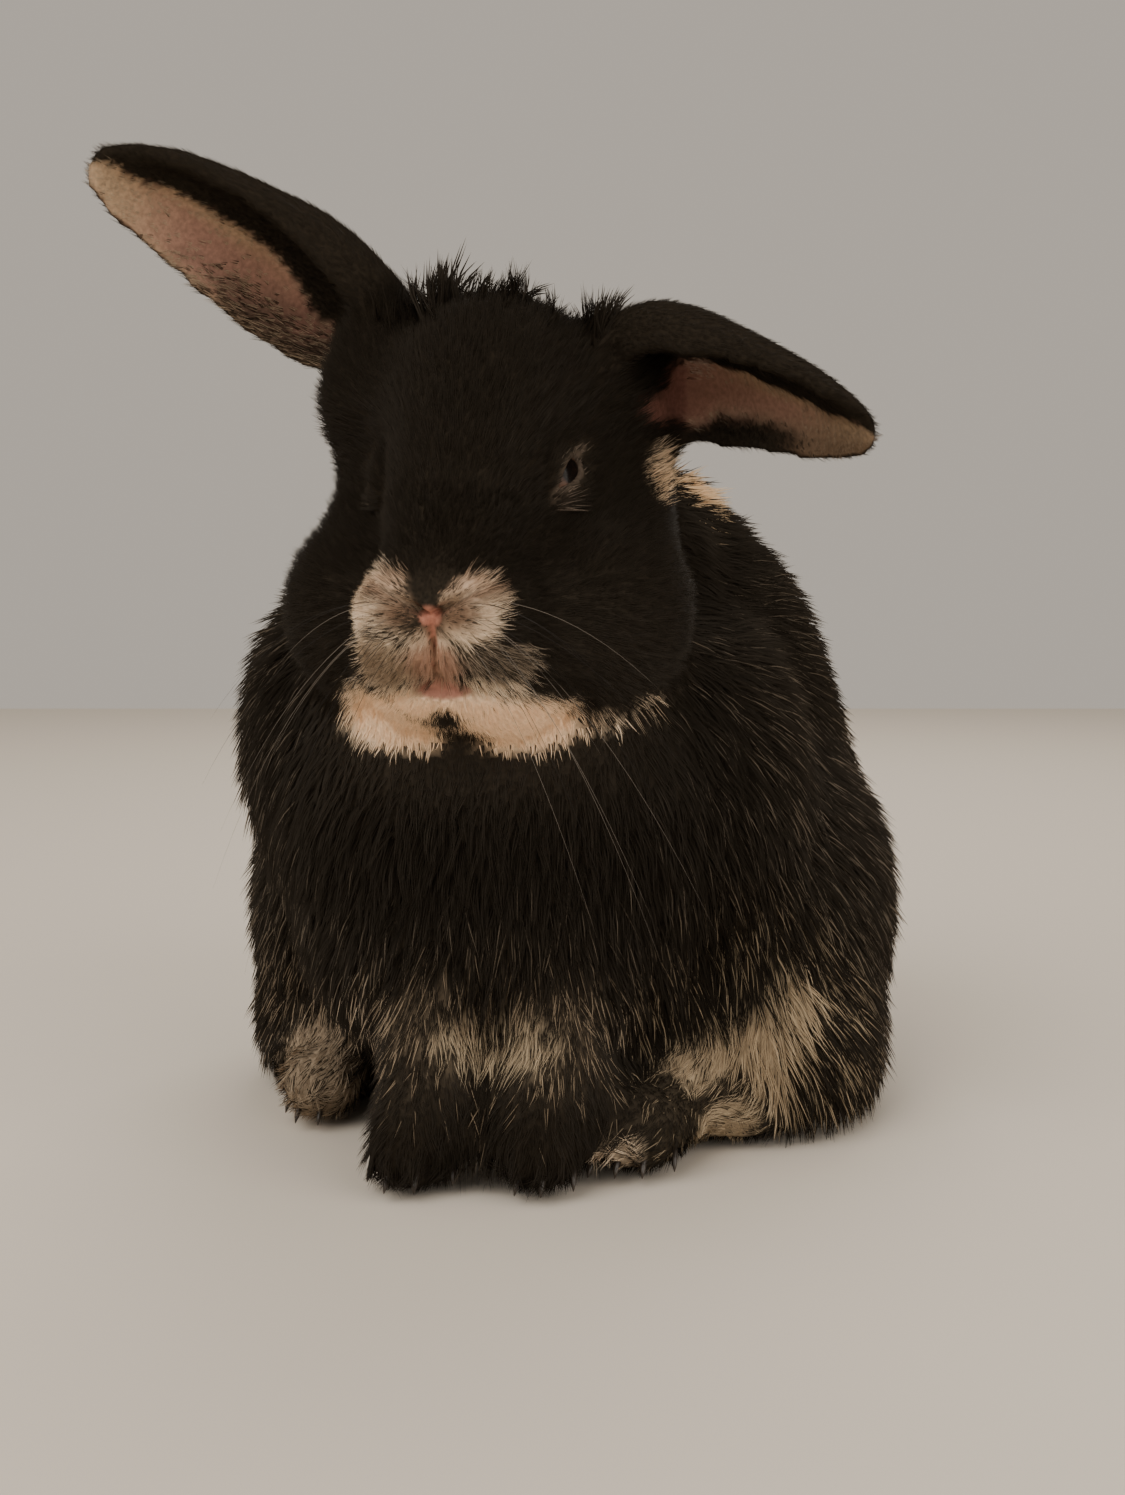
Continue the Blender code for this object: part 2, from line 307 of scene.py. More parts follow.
# Lines on the face, as millimetres across and up in the skull's frame. The skin is found behind them.
NOSTRIL = ((1.0, -39.4), (3.8, -37.5), (6.6, -35.8), (9.6, -34.3), (12.6, -33.0))
NOSE_MIDDLE = -0.6
PHILTRUM = ((-0.6, -40.5), (-0.8, -46), (-1.2, -51.8))
LIP_LINE = ((-21, -58.5), (-14, -58.6), (-7.5, -56.6), (-1.1, -52.4), (5, -56.2), (12, -57.6), (20, -56.5))
MOUTH_MIDDLE = (-1.2, -55.6)
MOUNDS = (  # place across and up, the middle between the two sides, shift, radii and height
    ((10, -39.5), NOSE_MIDDLE, (0, 0, 0), (7.5, 8, 6.0), 1.7),  # whisker pads
    ((10, -39.5), NOSE_MIDDLE, (5, 6, 0), (6, 7, 6.5), 1.4),
    ((9.5, -49.5), NOSE_MIDDLE, (0, 0, 0), (6, 7, 4.5), 0.9),  # lobes of the split lip
    ((15, -64), -2, (0, 0, 0), (9.5, 12, 6), 3.2),  # chin
)


def skin_in(body):
    """The skin's points in that frame."""
    return rows(body.inverted(), points_of(skin_mesh))


def skin_tree(body):
    """The skin as a search tree in that frame."""
    return BVHTree.FromPolygons(skin_in(body).tolist(), [list(face.vertices) for face in skin_mesh.polygons])


def raise_skin(heights):
    """Moves the skin's points outwards by so many millimetres."""
    move_skin(points_of(skin_mesh) + normals_of(skin_mesh) * heights[:, None] * MM)


def on_face(tree, line):
    """The points of the skin straight behind the line's points, seen from in front of the face."""
    return np.array([tree.ray_cast(Vector((x, -200, z)), Vector((0, 1, 0)))[0] for x, z in line])


def away_from(points, line):
    """Each point's distance from a line of straight stretches, and how far along the line, from 0 to 1."""
    nearest = np.full(len(points), np.inf)
    share = np.zeros(len(points))
    for number, (start, end) in enumerate(zip(line, line[1:])):
        stretch = end - start
        t = np.clip((points - start) @ stretch / (stretch @ stretch), 0, 1)
        away = np.linalg.norm(points - start - t[:, None] * stretch, axis=1)
        share = np.where(away < nearest, (number + t) / (len(line) - 1), share)
        nearest = np.minimum(nearest, away)
    return nearest, share


def ridge(away, width):
    """1 at no distance, falling off smoothly over the width."""
    return np.exp(-((away / width) ** 2))


def blob(points, centre, radii, edge=0.4):
    """1 within an egg of those radii and 0 outside it, with a soft edge that is a share of the radii."""
    return 1 - ramp(np.linalg.norm((points - centre) / radii, axis=1), 1 - edge, 1 + edge)


tree = skin_tree(skull)
inside = skin_in(skull)
raised = np.zeros(len(inside))  # millimetres outwards
for side in SIDES.values():
    for (x, z), middle, shift, radii, height in MOUNDS:
        off = inside - on_face(tree, [(x * side + middle, z)])[0] - (shift[0] * side, shift[1], shift[2])
        raised += height * np.exp(-np.sum((off / radii) ** 2, axis=1))
raise_skin(raised)

tree = skin_tree(skull)
inside = skin_in(skull)
raised = np.zeros(len(inside))
nostrils = []
for side in SIDES.values():
    slit = on_face(tree, [(x * side + NOSE_MIDDLE, z) for x, z in NOSTRIL])
    nostrils.append(slit)
    away, along = away_from(inside, slit)
    raised -= (2.4 * (1 - ramp(along, 0.2, 0.8)) + 0.5) * ridge(away, 0.75)
    wing_line = [(x * side + NOSE_MIDDLE - 0.4 * side, z + 2.1) for x, z in NOSTRIL[:3]]  # above the slit
    wing, _ = away_from(inside, on_face(tree, wing_line))
    raised += 0.7 * ridge(wing, 1.5)
philtrum, down_philtrum = away_from(inside, on_face(tree, PHILTRUM))
lips, along_lips = away_from(inside, on_face(tree, LIP_LINE))
raised -= 1.5 * ridge(philtrum, 0.9)
raised -= (1.6 - np.abs(2 * along_lips - 1)) * ridge(lips, 1.1)
mouth_middle = on_face(tree, [MOUTH_MIDDLE])[0]
raised -= 1.7 * blob(inside, mouth_middle, (6.0, 8, 2.1))
raise_skin(raised)

# The lids are a shell round the eyeball. The opening between them is a narrow almond, from the corner near
# the nose up to the corner near the ear, and the skin dives under the eyeball there.
SIGHT = {  # where each eye looks: aside, ahead and up
    "left": Vector((0.83, -0.44, 0.33)).normalized(),
    "right": Vector((0.95, -0.1, 0.28)).normalized(),
}
CORNERS = Vector((0.24, 0.72, 0.65))  # from the front corner to the rear one
OPENING = (5.5, 1.6, 1.4)  # half its length, its height above and below the line of the corners
LID = 1.1  # thickness at the rim
LID_REACH = 13.5
DIVE = 2.2
FAR = 30.0
inside = skin_in(skull)
from_opening = np.full(len(inside), FAR)  # millimetres over the eyeball from the rim of the lids
for side, sign in SIDES.items():
    slant = (CORNERS - SIGHT[side] * CORNERS.dot(SIGHT[side])).normalized()
    axes = np.array([slant, SIGHT[side].cross(slant), SIGHT[side]]) * (sign, 1, 1)
    upwards = axes[1] * np.sign(axes[1][2])
    off = inside - np.array(EYES[side])
    radius = np.linalg.norm(off, axis=1)
    along = EYE_RADIUS * (off @ axes[0]) / radius
    above = EYE_RADIUS * (off @ upwards) / radius
    facing = off @ axes[2] / radius
    bow = 1 - np.minimum((along / OPENING[0]) ** 2, 4)
    rim = np.where(above > 0, above - OPENING[1] * bow, -above - OPENING[2] * bow)
    rim = np.where(facing > 0, rim, FAR)
    reach = 1 - ramp(radius, 9.0, LID_REACH)
    near = reach * ramp(facing, 0.05, 0.45)
    shell = EYE_RADIUS + LID * ramp(rim, -0.1, 0.8) - DIVE * (1 - ramp(rim, -0.8, 0.1))
    shell = shell + 0.5 * ramp(rim, 1, 3)
    target = np.maximum(shell, np.where(rim > 0.4, radius, 0))
    change = (target - radius) * near
    inside += off / radius[:, None] * change[:, None]
    on_lids = (radius < LID_REACH) & (facing > 0)
    from_opening = np.where(on_lids, np.minimum(from_opening, rim), from_opening)
move_skin(rows(skull, inside))

# Shallow grooves part the toes. They lie in the trunk's frame, between the claws of each foot.
TOES = {  # middle of the foot across and back, and the distance between its claws
    "fore_left": (17.5, -88, 5.2),
    "fore_right": (-11, -92.5, 5.8),
    "hind_left": (36.5, -69, 5.4),
    "hind_right": (-52, -49, 5.4),
}
BETWEEN_TOES = (-1, 0, 1)
inside = skin_in(trunk)
raised = np.zeros(len(inside))
for x, y, apart in TOES.values():
    for gap in BETWEEN_TOES:
        groove = ridge(inside[:, 0] - x - gap * apart, 1.3)
        raised -= 1.5 * groove * (1 - ramp(inside[:, 1], y - 6, y + 2)) * (1 - ramp(inside[:, 2], 8, 16))
raise_skin(raised)

# The markings and some painted light and shade, the lie and the length of the coat are kept at the skin's
# vertices, for the coat to read.
DARK = "#25201a"
LIT_BLACK = "#2d2822"  # painted light: the black of the body and cheeks is a little lighter and browner
SILVER = "#645a4e"  # the single light hairs in the black
WHITE = "#e3ceb4"
PINK = "#ae7866"  # the bare nose


def linear(colour):
    """An sRGB hex colour as linear red, green and blue. What is not a hex colour stays as it is."""
    if not isinstance(colour, str):
        return np.asarray(colour)
    shares = np.array([int(colour[i : i + 2], 16) / 255 for i in (1, 3, 5)])
    return np.where(shares <= 0.04045, shares / 12.92, ((shares + 0.055) / 1.055) ** 2.4)


def mixed(under, *layers):
    """Colours or vectors at the vertices, under layers. Each layer is what is laid on, and its share."""
    for over, share in layers:
        under = linear(under) + (linear(over) - linear(under)) * share[:, None]
    return under


def unit(vectors):
    return vectors / np.maximum(np.linalg.norm(vectors, axis=-1, keepdims=True), 1e-9)


node_at = nearest_nodes()
part_at = PART[node_at]
points = points_of(skin_mesh)
normals = normals_of(skin_mesh)
on_skull, on_trunk = skin_in(skull), skin_in(trunk)
count = len(points)
RUFFLE, DRIFT = 0.22, 0.06  # swells to a millimetre: about 5 mm and 17 mm wide
ruffle = np.array([noise.noise(Vector(place) * RUFFLE) for place in on_skull])
drift = np.array([noise.noise(Vector(place) * DRIFT + Vector((9, 4, 2))) for place in on_skull])

# The ears' middle lines in the skull's frame, from root to tip. Inside an ear the skin faces its line.
EAR_LINES = {
    "left": ((19, 9, 16), (38, 3, 16.5), (55, -7.5, 11.5), (72, -18.5, 5), (89, -30, -2.5)),
    "right": ((-24, 9, 22), (-41, 4.5, 33.5), (-57.5, -4, 45), (-74.5, -15, 56), (-89.5, -26, 63)),
}
EAR_HALVES = ((0, 9), (0.2, 17), (0.4, 19), (0.6, 15), (0.8, 11), (0.9, 7.5), (1, 2))  # half widths, along
skull_turn = np.array(skull.to_3x3().normalized())
ear_along = np.zeros(count)
ear_inside = np.zeros(count)
ear_lie = np.zeros((count, 3))
ear_height = np.zeros(count)  # -1 at the lower edge, 1 at the upper one
for side, line in EAR_LINES.items():
    line = np.array(line, float)
    here = node_at == FLESH.index("ear_" + side)
    _, along = away_from(on_skull, line)
    place = along * (len(line) - 1)
    first = np.clip(place.astype(int), 0, len(line) - 2)
    foot = line[first] + (line[first + 1] - line[first]) * (place - first)[:, None]
    off = on_skull - foot
    facing = -np.sum(unit(off) * (normals @ skull_turn), axis=1)
    outwards = unit(line[first + 1] - line[first])
    ear_along[here] = along[here]
    ear_inside[here] = ramp(facing, -0.4, 0.2)[here]
    ear_lie[here] = (outwards @ skull_turn.T)[here]
    upwards = unit((0, 0, 1) - outwards * outwards[:, 2:])
    half = np.interp(along, *np.transpose(EAR_HALVES))
    ear_height[here] = (np.sum(off * upwards, axis=1) / half)[here]
ear_inside = blurred(ear_inside, 1)
left_ear = node_at == FLESH.index("ear_left")
right_ear = node_at == FLESH.index("ear_right")

# The upper edge of each ear rolls forward, so that a band of its black back shows before the pink hollow.
BAND_FOOT = {  # the height that the band reaches down to, along the ear
    "left": (
        (0, -0.9), (0.15, -0.5), (0.22, -0.15), (0.28, 0.05), (0.36, 0.25), (0.6, 0.25), (0.85, 0.25),
        (1, 0.5),
    ),
    "right": ((0, -0.8), (0.12, -0.5), (0.28, -0.05), (0.45, 0.28), (0.7, 0.36), (0.88, 0.3), (1, 0.6)),
}
foot_of_band = np.where(left_ear, *(np.interp(ear_along, *np.transpose(BAND_FOOT[side])) for side in SIDES))
in_band = ramp(ear_height - foot_of_band + 0.05 * ruffle, -0.05, 0.07)
band = ear_inside * in_band
rolled = blurred(2.2 * band * ramp(ear_along, 0.02, 0.15) * (1 - ramp(ear_along, 0.85, 1)), 1)
points = points + normals * rolled[:, None] * MM
move_skin(points)
normals = normals_of(skin_mesh)
on_skull = rows(skull.inverted(), points)

# The lie: away from the nose on the head, back and down on the trunk, down the legs and out along the ears.
LIE = {"foreleg": (0, -0.2, -1), "hindfoot": (0, -1, -0.15), "tail": (0, 0.4, 1), "thigh": (0, 0.25, -1)}
backwards = ramp(on_trunk[:, 1], -75, 10)
sweep = backwards * (0.6 + ramp(on_trunk[:, 2], 70, 140))
trunk_lie = np.stack([np.zeros(count), 0.15 + sweep, np.full(count, -1.1)], axis=1)
for part, direction in LIE.items():
    trunk_lie[part_at == part] = direction
near_floor = np.isin(part_at, ["foreleg", "hindfoot"]) * (1 - ramp(points[:, 2] / MM, 4, 11))
trunk_lie = mixed(trunk_lie, ((0, -1, 0), near_floor))
trunk_turn = np.array(trunk.to_3x3().normalized())
lie = unit(trunk_lie) @ trunk_turn.T
from_nose = unit(on_skull - np.array(NOSE_TIP) + (0, -4, 0)) @ skull_turn.T
on_head = np.isin(part_at, ["head", "muzzle", "nose", "lower"])
lie = np.where(on_head[:, None], unit(from_nose + (0, 0.25, 0)), lie)
edgewards = (0, 0, 0.8) * (np.clip(ear_height, -1, 1) * ear_inside)[:, None]
lie = np.where((part_at == "ear")[:, None], unit(ear_lie + edgewards), lie)
lie = blurred(lie, 12)
lie += 0.25 * np.stack([ruffle, drift, -ruffle], axis=1)
lie = unit(lie - normals * np.sum(lie * normals, axis=1)[:, None])

# The share of pale hairs, and what colour they are.
WHITE_PLACES = {  # by frame: centre, radii and share
    "skull": (
        ((7.9, -54, -38.8), (6.5, 11, 7.0), 1.0),  # whisker pads
        ((-12.0, -50, -37.8), (9.4, 13, 8.2), 1.0),
        ((12, -32, -64.5), (13.5, 22, 8.5), 1.0),  # chin
        ((-19.5, -26, -64.2), (14.5, 22, 9.8), 1.0),
        ((-2, -43, -58.5), (15, 9, 5.0), 1.0),
        ((9, -47, -55.5), (8, 9, 2.8), 0.7),
        ((-1, -53, -48), (5.5, 9, 7.0), 0.95),  # upper lips
        ((11, -48, -49.5), (9, 9, 5.5), 0.42),
        ((-13.5, -46, -49), (12, 12, 8), 0.82),
        ((29, -18, -65.2), (6, 9, 3.0), 0.42),  # edges of the cheeks
        ((33, -14, -64.6), (5, 9, 2.2), 0.45),
        ((38.5, -10, -60.8), (4, 8, 2.4), 0.45),
        ((-38, -6, -68), (11, 10, 3.0), 0.35),
        ((38.5, 4, -8), (3.4, 8, 7), 0.7),  # behind the left ear
    ),
    "trunk": (
        ((30, -2, 160.5), (5.5, 13, 6.5), 0.9),
        ((7.5, -86, 35.5), (16, 16, 5.5), 0.65),  # fringe of the chest
        ((4, -84, 38), (50, 26, 11), 0.2),
        ((46, -49, 23), (9, 11, 6), 0.7),  # front of the left thigh
        ((58, -42, 27), (10, 12, 9), 0.9),
        ((68, -35, 36), (6, 10, 9), 0.85),
        ((62, -42, 18), (7, 10, 9), 0.65),
        ((-56, -50, 14), (14, 24, 18), 0.7),  # right hind foot
        ((33, -80, 6), (9, 9, 6), 0.5),  # toes of the left hind foot
        ((52, -48, 6), (8, 9, 7), 0.8),
    ),
}
share = 0.05 * ramp(-on_trunk[:, 2], -80, -40) + 0.11 * ramp(np.abs(on_trunk[:, 0]), 35, 65)
share = share * ~on_head  # silver hairs low on the body and on its flanks
throat = ramp(-on_skull[:, 1], 10, 16) * ramp(on_skull[:, 2], -73, -69)
of_face = np.maximum(on_head, throat)  # the head, and the rim of the throat under its chin
FRAYED = {  # places in each frame, shifted so that the borders of the white fray, and where white may lie
    "skull": (on_skull + (ruffle * 1.5 + drift)[:, None], of_face),
    "trunk": (on_trunk + (ruffle * 3 + drift * 4)[:, None], 1.0),
}
white = np.zeros(count)
for where, (places, allowed) in FRAYED.items():
    for centre, radii, most in WHITE_PLACES[where]:
        spot = blob(places, centre, radii, 0.28) * allowed
        share = np.maximum(share, most * spot)
        white = np.maximum(white, spot)
share = np.maximum(share, 0.09 * blob(on_trunk, (4, -70, 42), (68, 40, 26)))  # silver, low on the chest
CHIN_TUFT = (((-1.5, -42, -62.5), (3.4, 9, 2.7)), ((-1, -35, -69.5), (7, 12, 4.2)))  # dark. Centre and radii
for centre, radii in CHIN_TUFT:
    share *= 1 - blob(on_skull, centre, radii)
below_hem = (part_at == "foreleg") * (1 - ramp(points[:, 2] / MM + 4 * ruffle, 17, 25))  # paws are black
share = share * (1 - 0.97 * below_hem)
PALE_TINTS = (  # places, colour, centre, radii and strength
    (on_trunk, "#85745f", (8, -86, 34), (44, 30, 22), 0.9),  # chest
    (on_trunk, "#b09f85", (7.5, -86, 34), (15, 20, 8), 0.9),
    (on_trunk, "#ae9b7f", (58, -42, 20), (34, 40, 40), 0.9),  # left thigh
    (on_trunk, "#a08e78", (-56, -46, 14), (30, 40, 34), 0.9),  # right hind foot
    (on_trunk, "#e8c9a2", (33, -20, 160), (12, 40, 14), 0.9),  # behind the left ear
    (on_skull, "#9a7460", (-1, -52, -49.5), (7, 10, 4.5), 0.9),  # upper lips
    (on_skull, "#8a755e", (-13.5, -46, -50), (9, 13, 5.5), 0.8),
    # painted shade: the left upper lip is darker than the right
    (on_skull, "#695b4c", (12, -48, -49), (8, 12, 4.5), 0.8),
)
chin = blob(on_skull, (-3, -30, -64), (34, 26, 9), 0.2) * of_face
pale = mixed(SILVER, (WHITE, ramp(white, 0, 0.25)), ("#ecccaa", chin))
for places, colour, centre, radii, strength in PALE_TINTS:
    pale = mixed(pale, (colour, blob(places, centre, radii) * strength))

# Bare or thinly haired skin: the nose's slits, the lips, the rims of the lids and the insides of the ears.
bare = 0.8 * ridge(philtrum, 0.9)
crease_shade = ridge(philtrum, 0.45) * ramp(down_philtrum, 0.35, 0.6)  # painted shade: the dark lines of the lip and the slits
beside = np.abs(on_skull[:, 0] - NOSE_MIDDLE)
slit_height = -39.4 + 0.55 * (beside - 1)
under_slit = ramp(slit_height - on_skull[:, 2], -0.6, 0.8) * on_head
slit_shade = np.zeros(count)  # painted shade: the darker hair under the slits
slits = np.zeros(count)  # painted shade: fewer pale hairs along them, so that they show as dark lines
for slit in nostrils:
    away, along = away_from(on_skull, slit)
    slit_shade = np.maximum(slit_shade, under_slit * ridge(away, 4.0))
    slits = np.maximum(slits, ridge(away, 1.0) * (1 - 0.8 * ramp(along, 0.5, 0.9)))
    bare = np.maximum(bare, ridge(away, 0.8) * (1 - ramp(along, 0.05, 0.4)))
    crease_shade = np.maximum(crease_shade, ridge(away, 0.6) * (1 - 0.4 * ramp(along, 0.6, 1)))
for side in SIDES.values():
    shaded_pad = blob(on_skull, (6 * side + NOSE_MIDDLE, -55, -38.8), (5.5, 11, 3.8), 0.5)
    slit_shade = np.maximum(slit_shade, 0.9 * under_slit * shaded_pad)
bare = np.maximum(bare, blob(on_skull, NOSE_TIP, (2.3, 5, 2.2)))
mouth = blob(on_skull, mouth_middle, (6.2, 9, 2.2))
bare = np.maximum(bare, mouth)
lid = 1 - ramp(from_opening, 0.6, 1.8)
hollow = ear_inside * (1 - in_band) * ramp(ear_along, 0.03, 0.12)
dark_edge = left_ear * ramp(-ear_height, 0.2, 0.5) * ramp(ear_along, 0.1, 0.25)
dark_edge = dark_edge * (1 - ramp(ear_along, 0.6, 0.9))
hollow *= 1 - dark_edge
forwards = ramp(-(normals @ skull_turn)[:, 1], -0.1, 0.3)
in_root = np.maximum(  # the left ear's hollow starts on the side of the head
    blob(on_skull, (39, 1, 7.5), (5, 8, 3.5), 0.3), blob(on_skull, (46, 8, 12), (7.5, 13, 7.5), 0.3)
)
in_root *= (on_head | left_ear) * forwards
hollow = np.maximum(hollow, in_root)
upper_edge = ramp(ear_height - foot_of_band, -0.3, 0) * ramp(ear_along, 0.3, 0.6)
low_and_tip = np.maximum(ramp(-ear_height, 0.5, 0.9), ramp(ear_along, 0.62, 0.95))
margin = hollow * np.maximum(low_and_tip, upper_edge)
wisps = right_ear * ramp(-ear_height, -0.15, 0.55) * (1 - ramp(ear_along, 0.4, 0.8))  # dark hairs low down
# Painted shade: the pale hair round the nose tip is browner.
shade_round_nose = blob(on_skull, NOSE_TIP, (8, 14, 5), 0.5)
below = [EYES[side] + Vector((5.5 * sign, -6, -4.2)) for side, sign in SIDES.items()]
under_eyes = sum(blob(on_skull, place, (3.6, 5, 3.2)) for place in below)
left_side = ramp(on_skull[:, 0], -5, 5)  # the ring round the right eye is dark
# Painted shade: fewer pale hairs under and along the slits.
share *= (1 - 0.3 * slit_shade) * (1 - 0.6 * slits)
share = np.maximum(share, np.maximum(lid * 0.45, under_eyes * 0.22) * (0.12 + 0.88 * left_side))
share = np.where(part_at == "ear", ramp(hollow, 0.2, 0.8) * (1 - 0.65 * wisps), share)
tuft = blob(on_skull, (48, 8, 18), (3.8, 8, 2.6)) * forwards  # a pale tuft at the root of the left ear
share = np.maximum(share, 0.5 * tuft)
bald = np.maximum(np.maximum(bare, crease_shade), 1 - ramp(from_opening, 0.3, 1.0))
left_ear_shade = 0.85 * (left_ear * ramp(ear_along, 0.4, 0.6) * ramp(-ear_height, -0.1, 0.6))  # painted shade: browner, low on the left ear
pale = mixed(
    pale,
    # the colour under the bare skin, and painted shade round the nose tip
    ("#8a6b52", np.clip(bare + 0.6 * shade_round_nose, 0, 1)),
    # painted shade under the slits
    ("#6f5442", 0.95 * slit_shade),
    ("#b0927a", 0.8 * blob(on_skull, (-0.6, -54, -32.5), (14, 12, 4))),  # above the slits
    ("#5f5349", np.maximum(lid, under_eyes)),
    ("#a08d76", hollow),
    ("#a08d7f", tuft),
    # painted shade: the left ear's pale hair darker low down and towards its tip
    ("#5f4d3d", np.maximum(left_ear_shade, 0.7 * left_ear * ramp(ear_along, 0.55, 0.9))),
)
# Painted shade: the hollows of the ears are darker near their roots.
ear_flesh = mixed(
    "#6b4b43",
    ("#8f6d5f", ramp(ear_along, 0.15, 0.45)),
    ("#9e866b", margin * 0.9),
    ("#453a31", 0.8 * wisps * ramp(ruffle + 0.6 * wisps, -0.1, 0.35)),
    ("#5f4d3d", left_ear_shade),
)
# Painted shade: the left ear's hollow darker towards its tip.
ear_flesh = ear_flesh * (1 - left_ear * 0.4 * ramp(ear_along, 0.5, 0.9))[:, None]
# Painted light: the lighter black lies on the body and on the head from the cheeks down, not on the ears or
# paws.
where_lit = np.where(on_head, ramp(-on_skull[:, 2], 22, 48), 1.0) * (part_at != "ear") * (1 - below_hem)
dark = mixed(DARK, (LIT_BLACK, blurred(where_lit, 6)))
tint = mixed(
    dark,
    (pale, share),
    (np.where((hollow > bare)[:, None], ear_flesh, linear(PINK)), np.maximum(bare, hollow)),
    ("#9d7264", mouth * 0.8),
    # painted shade in the creases of the lip and the slits
    ("#24160f", crease_shade * 0.9),
    ("#1d120e", 1 - ramp(from_opening, -0.2, 0.25)),  # painted shade: the skin that dives under the eyeballs
)

HAIR_LENGTH = {  # millimetres
    "trunk": 13.0, "thigh": 13.0, "neck": 12.0, "tail": 13.0, "head": 6.2, "lower": 4.6, "muzzle": 4.4,
    "nose": 2.5, "ear": 2.8, "foreleg": 6.5, "hindfoot": 6.5,
}
hair_length = by_part(HAIR_LENGTH, 8)
near_nose = blob(on_skull, NOSE_TIP, (9, 10, 9), 0.9)
hair_length = hair_length * (1 - 0.45 * near_nose) * (1 - 0.3 * hollow + 0.9 * hollow * wisps)
hair_length *= 1 - 0.45 * on_head * blob(on_skull, (-3, -30, -64), (34, 26, 10))
under_chin = blob(on_skull, (-1, -14, -66), (42, 26, 16), 0.5) * ~on_head  # so that the chin is not hidden
hair_length *= 1 - 0.75 * under_chin
hair_length = np.minimum(hair_length, 1.2 + 1.3 * np.maximum(from_opening, 0))
hair_length = np.minimum(hair_length, 2 + points[:, 2] / MM)  # short where the animal rests on the floor


def keep(mesh, name, values):
    """Stores numbers, vectors or colours at the mesh's vertices."""
    columns = 1 if values.ndim == 1 else values.shape[1]
    kinds = {1: ("FLOAT", "value"), 3: ("FLOAT_VECTOR", "vector"), 4: ("FLOAT_COLOR", "color")}
    kind, field = kinds[columns]
    found = mesh.attributes.get(name) or mesh.attributes.new(name, kind, "POINT")
    found.data.foreach_set(field, np.ascontiguousarray(values, np.float32).reshape(-1))


def opaque(colours):
    return np.concatenate([colours, np.ones((len(colours), 1))], axis=1)


for name, values in {
    "tint": opaque(tint), "dark": opaque(dark), "pale": opaque(pale), "share": share, "lie": lie,
    "hair_length": hair_length * MM,
}.items():
    keep(skin_mesh, name, values)

skin = shown("skin", skin_mesh)
skin_mesh.shade_smooth()
bpy.context.view_layer.objects.active = skin
skin.select_set(True)
skin_mesh.uv_layers.new(name="OFBake")
bpy.ops.object.mode_set(mode="EDIT")
bpy.ops.mesh.select_all(action="SELECT")
bpy.ops.uv.smart_project(angle_limit=1.15, island_margin=0.002, scale_to_bounds=True)
bpy.ops.object.mode_set(mode="OBJECT")
skin.select_set(False)


def out(made, name=None):
    """A node's output of that name, or its first."""
    return next(socket for socket in made.outputs if socket.enabled and name in (None, socket.name))


def add_node(tree, kind, inputs=None, **settings):
    """A node with its settings. Its inputs, by name or number, take a node, a node's output or a value."""
    made = tree.nodes.new(kind)
    for name, value in settings.items():
        setattr(made, name, value)
    for key, value in (inputs or {}).items():
        named = [socket for socket in made.inputs if socket.enabled and socket.name == key]
        socket = named[0] if named else made.inputs[key]
        if isinstance(value, bpy.types.Node):
            value = out(value)
        if isinstance(value, bpy.types.NodeSocket):
            tree.links.new(value, socket)
        else:
            socket.default_value = value
    return made


def material_of(name, looks, tinted=True):
    """A material with those values at its shader. A tinted one reads its colour from the mesh's vertices."""
    material = bpy.data.materials.new(name)
    material.use_nodes = True
    shader = material.node_tree.nodes["Principled BSDF"]
    for socket, value in looks.items():
        shader.inputs[socket].default_value = value
    if tinted:
        marks = add_node(material.node_tree, "ShaderNodeAttribute", attribute_name="tint")
        material.node_tree.links.new(out(marks), shader.inputs["Base Color"])
    return material


# Skin under a coat. It has the coat's own colours, broken up by specks and dents about a millimetre wide, as
# the roots of hairs break it, and no shine. The gaps between the locks then look like more coat.
GRAIN = 0.9 / MM  # specks to a metre
skin_material = material_of("rabbit_skin", {"Roughness": 0.75, "Specular IOR Level": 0.0})
nodes = skin_material.node_tree
shader = nodes.nodes["Principled BSDF"]
coordinates = add_node(nodes, "ShaderNodeTexCoord")
grain = {"Vector": out(coordinates, "Object"), "Scale": GRAIN, "Detail": 3}
specks = add_node(nodes, "ShaderNodeTexNoise", grain)
mottle_range = {"From Min": 0.3, "From Max": 0.7, "To Min": 0.8, "To Max": 1.15}
mottle = add_node(nodes, "ShaderNodeMapRange", {"Value": specks, **mottle_range})
marks = shader.inputs["Base Color"].links[0].from_socket
mix = {"Factor": 1.0, "A": marks, "B": mottle}
shade = add_node(nodes, "ShaderNodeMix", mix, data_type="RGBA", blend_type="MULTIPLY")
nodes.links.new(out(shade), shader.inputs["Base Color"])
dents = add_node(nodes, "ShaderNodeBump", {"Strength": 0.5, "Distance": 0.3 * MM, "Height": specks})
nodes.links.new(out(dents), shader.inputs["Normal"])
skin_mesh.materials.append(skin_material)

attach(skin, "root")
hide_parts(*FLESH)

# ---------------------------------------------------------------- eyes
# The eyes are wet and dark brown, almost black. Each is a ball that bulges a little in front, with a wide
# pupil, a brown iris and a pale rim, most of which the lids cover. The balls sit loose in the skin.
PUPIL, IRIS, WHITE_OF_EYE = 26, 76, 84  # degrees from the line of sight: their ends, and the full white
BULGE = 0.03  # a share of the radius, at the middle of the pupil

